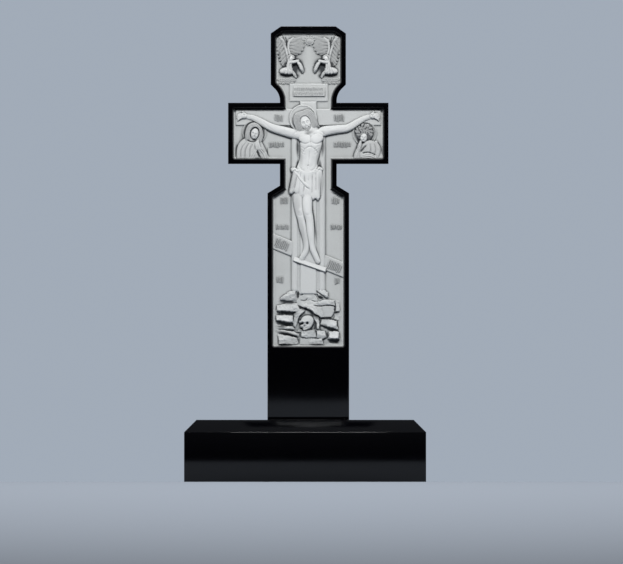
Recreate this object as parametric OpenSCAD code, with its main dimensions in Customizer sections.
// Orthodox cross headstone: a slab cut to a cross with a carved Crucifixion in a sunk
// field, standing on a chamfered plinth. The relief faces -Y.

/* [Plinth] */
// Width of the plinth
plinth_w = 605; // [450:5:800]
// Depth of the plinth, front to back
plinth_d = 200; // [150:5:320]
// Height of the plinth
plinth_h = 155; // [100:5:250]
// Width of the sloping chamfer round the plinth's top
plinth_chamfer = 31; // [10:1:45]

/* [Stele] */
// Height of the stele above the plinth
stele_h = 984; // [800:2:1300]
// Thickness of the slab
stele_t = 80; // [60:5:120]
// How far the stele stands to the right of the plinth's middle
stele_shift = 8; // [-20:1:20]
// Width across the arms
arm_span = 401; // [320:1:500]
// Height of each arm
arm_h = 153; // [120:1:190]
// Width of the lower shaft
shaft_w = 204; // [165:1:250]
// Width of the necks above and below the arms
neck_w = 142; // [110:1:160]
// Height of the neck below the arms
lower_neck_h = 54; // [20:1:90]
// Rise of the sloping shoulders between the shaft and the lower neck
shoulder_rise = 19; // [8:1:40]

/* [Head] */
// Width of the head block
head_w = 188; // [166:1:230]
// Height of the head block, from its lower corners to its top
head_h = 146; // [110:1:190]
// Width of the cut at the head's top corners
head_cut_w = 26; // [10:1:40]
// Height of the cut at the head's top corners
head_cut_h = 18; // [8:1:35]
// Radius of the hollow curve under the head
flare_r = 42; // [10:1:60]
// Straight part of the upper neck, between the arms and the hollow curve
neck_land = 5; // [0:1:20]

/* [Carved field] */
// Width of the polished rim round the field
rim_w = 10; // [6:1:18]
// Depth of the field below the polished face
field_depth = 14; // [8:1:20]
// Height of the plain foot below the field
foot_h = 180; // [100:5:260]
// Radius of the field's corners
field_r = 8; // [2:1:14]

/* [Carved cross] */
// Width of the beam and of the crossbar
beam_w = 42; // [30:1:56]
// Height of the beam and the crossbar above the floor of the field
beam_lift = 4; // [2:0.5:7]
// Radius of the lance's and the reed's shafts
pole_r = 8; // [4:0.5:11]
// Slope of the lower bar, in degrees
bar_slope = 22; // [10:1:30]
// Width of the sloping lower bar
bar_w = 36; // [24:1:46]
// Width of the title board
title_w = 96; // [70:1:110]
// Height of the title board
title_h = 44; // [30:1:50]

/* [Figures] */
// Size of the crucified figure, as a share of its full size
figure_size = 1; // [0.8:0.05:1.1]
// Height of the crucified figure's chest above the floor of the field
chest_lift = 13; // [8:1:18]
// Size of the mourners at the ends of the arms
mourner_size = 1; // [0.8:0.05:1.1]
// Size of the angels in the head
angel_size = 1; // [0.8:0.05:1.1]

/* [Hidden] */

// Heights of the stele's parts, measured from its foot
flare_limit = (head_w - neck_w) / 2 / (1 - cos(45));
flare = min(flare_r, flare_limit);
flare_run = (head_w - neck_w) / 2 - flare * (1 - cos(45));
upper_neck_h = neck_land + flare * sin(45) + flare_run;
head_z = stele_h - head_h;
arm_top_z = head_z - upper_neck_h;
arm_z = arm_top_z - arm_h;
shaft_h = arm_z - lower_neck_h - shoulder_rise;

// Places on the field
field_half_w = shaft_w / 2 - rim_w;
reach = arm_span / 2 - rim_w;
heart_z = arm_z + arm_h / 2;
bar_top_z = arm_top_z - rim_w - 5;
beam_foot_z = foot_h + 120;
board_z = bar_top_z + 18;

face_y = -stele_t / 2;
floor_y = face_y + field_depth;
cut_through = 5;
ball_sides = 16;
disc_sides = 48;

// Points of an arc about a centre, from one angle to another
function arc(centre, r, from, to, steps = 8) =
    [for (i = [0:steps]) let (a = from + (to - from) * i / steps)
        centre + r * [cos(a), sin(a)]];

// The right half of the stele's outline, from the foot up to the top
function half_outline() = concat(
    [[shaft_w / 2, 0],
     [shaft_w / 2, shaft_h],
     [neck_w / 2, shaft_h + shoulder_rise],
     [neck_w / 2, arm_z],
     [arm_span / 2, arm_z],
     [arm_span / 2, arm_top_z],
     [neck_w / 2, arm_top_z]],
    arc([neck_w / 2 + flare, arm_top_z + neck_land], flare, 180, 135),
    [[head_w / 2, head_z],
     [head_w / 2, stele_h - head_cut_h],
     [head_w / 2 - head_cut_w, stele_h]]);

// A half outline and its mirror image, as one closed ring of points
function outline(half) = concat(half, [for (i = [len(half) - 1:-1:0]) [-half[i][0], half[i][1]]]);

// A point on the carving: p is across and up, lift is out of the floor of the field
function carved(p, lift) = [p[0], floor_y - lift, p[1]];

// Puts what it holds at a place on the carving, grown or shrunk across but not in depth
module placed(p, size = 1) {
    translate([p[0], 0, p[1]]) scale([size, 1, size]) children();
}

// Stands a flat shape upright on the carving, from behind the floor out to a lift
module raised(lift) {
    translate([0, floor_y + cut_through, 0])
        rotate([90, 0, 0])
            linear_extrude(cut_through + lift) children();
}

// A flattened ball at a place on the carving
module ball(p, r, lift, flat = 0.75) {
    translate(carved(p, lift)) scale([1, flat, 1]) sphere(r, $fn = ball_sides);
}

// A rounded form laid along a list of places, with a radius and a lift at each
module limb(places, radii, lifts, flat = 0.75) {
    for (i = [0:len(places) - 2])
        hull()
            for (j = [i, i + 1]) ball(places[j], radii[j], lifts[j], flat);
}

// A block of rock with its four edges sloped, its centre at p
module rock(p, size, lift, lean = 0) {
    slope = 3;
    hull() {
        translate(carved(p, 0)) rotate([0, lean, 0])
            cube([size[0], 1, size[1]], center = true);
        translate(carved(p, lift)) rotate([0, lean, 0])
            cube([size[0] - 2 * slope, 1, size[1] - 2 * slope], center = true);
    }
}

// The flat shape of the whole field, inside the polished rim
module field_shape() {
    intersection() {
        offset(r = field_r) offset(delta = -rim_w - field_r) polygon(outline(half_outline()));
        offset(r = field_r) offset(delta = -field_r)
            translate([-arm_span / 2, foot_h]) square([arm_span, stele_h]);
    }
}

// The carved cross: beam, crossbar, title board and sloping lower bar
module carved_cross() {
    bar_half_w = reach - 9;
    tablet_edge = 8;
    raised(beam_lift) {
        translate([-beam_w / 2, beam_foot_z]) square([beam_w, board_z - beam_foot_z]);
        translate([-bar_half_w, bar_top_z - beam_w]) square([2 * bar_half_w, beam_w]);
        translate([0, heart_z - 306.5]) rotate(-bar_slope)
            square([2 * field_half_w / cos(bar_slope), bar_w], center = true);
    }
    raised(beam_lift - 1)
        translate([-title_w / 2, board_z]) square([title_w, title_h]);
    raised(beam_lift + 1)
        translate([tablet_edge - title_w / 2, board_z + 1.5 * tablet_edge])
            square([title_w - 2 * tablet_edge, title_h - 2.2 * tablet_edge]);
}

// The lance or the reed, standing on the hill beside the beam
module pole() {
    x = beam_w / 2 + 13;
    limb([[x, beam_foot_z + 20], [x, heart_z - 8]], [pole_r, pole_r], [0, 0], 0.5);
}

// The crucified figure, measured from the middle of its shoulders
module crucified() {
    hand_x = (reach - 29) / figure_size;
    placed([0, heart_z], figure_size) {
        raised(beam_lift + 1) translate([-12, 38]) circle(35, $fn = disc_sides);
        for (side = [-1, 1])
            limb([[side * 31 + 3, 0], [side * 92, 13], [side * (hand_x - 18), 39],
                  [side * hand_x, 43]],
                 [10, 8.5, 6.5, 8], [6, 5, 4.5, 4]);
        limb([[4, -8], [3, -52], [-3, -98]], [28, 22, 29], [0, 0, 0], chest_lift / 26);
        limb([[-22, -128], [-20, -196], [-10, -262], [-13, -306]], [15, 10, 7, 7], [3, 4, 3, 4]);
        limb([[8, -128], [-2, -192], [8, -262], [23, -314]], [16, 11, 8, 7], [3, 5, 4, 4]);
        limb([[5, 5], [-3, 18], [-10, 42]], [10, 13, 19], [5, 6, 3]);
        hull() {
            ball([-34, -311], 8, 3);
            ball([40, -341], 8, 3);
        }
        loincloth();
    }
}

// The wrapped cloth, from the hips to above the knees, with hanging folds
module loincloth() {
    folds = 4;
    limb([[-3, -98], [-9, -148]], [31, 27], [1, 2], chest_lift / 28);
    for (fold = [0:folds - 1]) {
        across = -32 + 18 * fold;
        bulge = 2 * min(fold, folds - 1 - fold);
        limb([[across, -100], [across - 4 - 3 * fold, -150 - 4 * fold]],
             [5, 6], [5 + 2 * bulge, 6 + bulge]);
    }
}

// The right-hand mourner, shown to the waist at the end of the arm and bowed to the middle
module mourner() {
    placed([reach - 52, arm_z + rim_w], mourner_size) {
        raised(4) translate([2, 64]) circle(27, $fn = disc_sides);
        limb([[4, 0], [5, 30]], [33, 24], [0, 0], 0.35);
        limb([[-2, 56], [-1, 62]], [15, 17], [2, 2], 0.6);
        limb([[-20, 5], [-12, 38]], [7, 5], [6, 6]);
    }
}

// The right-hand angel over its bank of cloud, with two raised wings
module angel() {
    placed([45, head_z + 24], angel_size) {
        limb([[25, 96], [24, 52], [12, 20]], [10, 11, 5], [1, 1, 1], 0.6);
        limb([[1, 84], [-12, 64], [-21, 50]], [9, 12, 6], [1, 2, 2], 0.6);
        ball([0, 44], 9, 3);
        limb([[-3, 32], [-12, 10], [20, 8]], [10, 11, 6], [2, 2, 2], 0.7);
        limb([[-8, 30], [-31, 12]], [5, 4], [5, 5]);
        limb([[25, -8], [-11, -10]], [8, 8], [0, 0], 0.6);
    }
}

// The hill: courses of rough blocks, with the cave and the skull under the beam
module hill() {
    side_x = field_half_w - 35;
    courses = 4;
    course_h = 25;
    placed([0, foot_h]) {
        limb([[-16, 118], [18, 116]], [16, 14], [0, 0], 0.5);
        for (side = [-1, 1], i = [0:courses - 1])
            rock([side * side_x, 18 + course_h * i], [50, 20], 7 + 2 * (i % 2), side * 3);
        rock([42 - field_half_w, 132], [44, 22], 8, 6);
        rock([36, 94], [58, 26], 11, 8);
        rock([38, 134], [30, 20], 6, 30);
        rock([0, 26], [44, 22], 6, 4);
        limb([[-4, 64], [-3, 58]], [17, 15], [1, 1], 0.6);
    }
}

// Everything that stands out of the floor, kept inside the field and level with the rim
module relief() {
    intersection() {
        raised(field_depth) field_shape();
        union() {
            carved_cross();
            for (left = [0, 1]) mirror([left, 0, 0]) {
                pole();
                mourner();
                angel();
            }
            hill();
            crucified();
        }
    }
}

// The stele: one slab with its carved field
module stele() {
    color([0.62, 0.63, 0.62])
        translate([stele_shift, 0, plinth_h])
            union() {
                difference() {
                    translate([0, stele_t / 2, 0]) rotate([90, 0, 0])
                        linear_extrude(stele_t) polygon(outline(half_outline()));
                    translate([0, floor_y, 0]) rotate([90, 0, 0])
                        linear_extrude(field_depth + cut_through) field_shape();
                }
                relief();
            }
}

// The end of a block of a given width, with its two top corners cut at 45 degrees
module chamfered_end(w) {
    shoulder_z = plinth_h - plinth_chamfer;
    top_half_w = w / 2 - plinth_chamfer;
    polygon(outline([[w / 2, 0], [w / 2, shoulder_z], [top_half_w, plinth_h]]));
}

// The plinth: one block with a chamfer round its top
module plinth() {
    color([0.02, 0.02, 0.03])
        intersection() {
            translate([0, plinth_d / 2, 0]) rotate([90, 0, 0])
                linear_extrude(plinth_d) chamfered_end(plinth_w);
            translate([-plinth_w / 2, 0, 0]) rotate([90, 0, 90])
                linear_extrude(plinth_w) chamfered_end(plinth_d);
        }
}

plinth();
stele();
